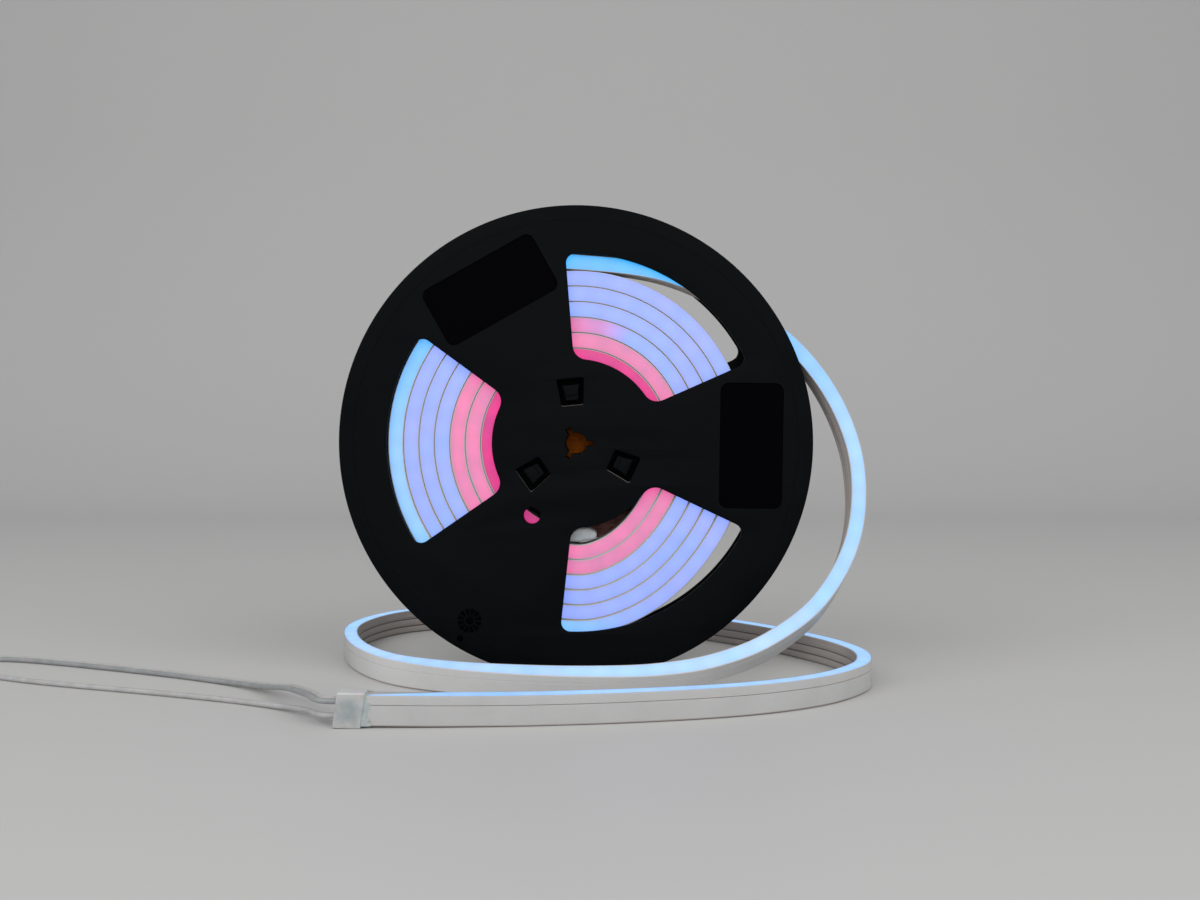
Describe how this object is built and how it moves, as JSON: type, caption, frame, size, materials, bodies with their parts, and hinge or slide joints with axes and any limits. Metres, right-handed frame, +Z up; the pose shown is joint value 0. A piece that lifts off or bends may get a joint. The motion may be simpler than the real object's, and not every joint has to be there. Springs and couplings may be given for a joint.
{
  "type": "led neon strip reel",
  "caption": "LED neon strip wound edge-on on a black spoked plastic reel, its lit free end looped round the reel on the floor and wired to a small connector.",
  "frame": {"origin": "on the floor under the middle of the reel", "axes": "+Z up, +Y along the reel's axle from its front face to its back, +X to the right seen from the front"},
  "size_m": [0.3978, 0.1939, 0.18],
  "materials": {
    "black_plastic": "satin black injection moulding",
    "brown_disc": "dull brown",
    "white_silicone": "opaque matt white",
    "lit_violet": "translucent, lit from inside",
    "lit_blue": "translucent, lit from inside",
    "led_board": "flexible printed board",
    "frosted_cap": "frosted, slightly translucent",
    "wire_jacket": "satin",
    "connector_nylon": "natural nylon",
    "tinned_metal": "tinned"
  },
  "bodies": {
    "root": {"reel_front_half": "black_plastic", "reel_back_half": "black_plastic", "back_disc": "brown_disc", "wound_channel": "white_silicone", "wound_diffuser": "lit_violet", "wound_led_board": "led_board", "inner_end_cap": "white_silicone", "free_channel": "white_silicone", "free_diffuser": "lit_blue", "free_led_board": "led_board", "outer_end_cap": "frosted_cap", "lead_wire_rear": "wire_jacket", "lead_wire_front": "wire_jacket", "lead_wire_lower": "wire_jacket", "connector_housing": "connector_nylon", "connector_pin_1": "tinned_metal", "connector_pin_2": "tinned_metal", "connector_pin_3": "tinned_metal"}
  },
  "joints": []
}
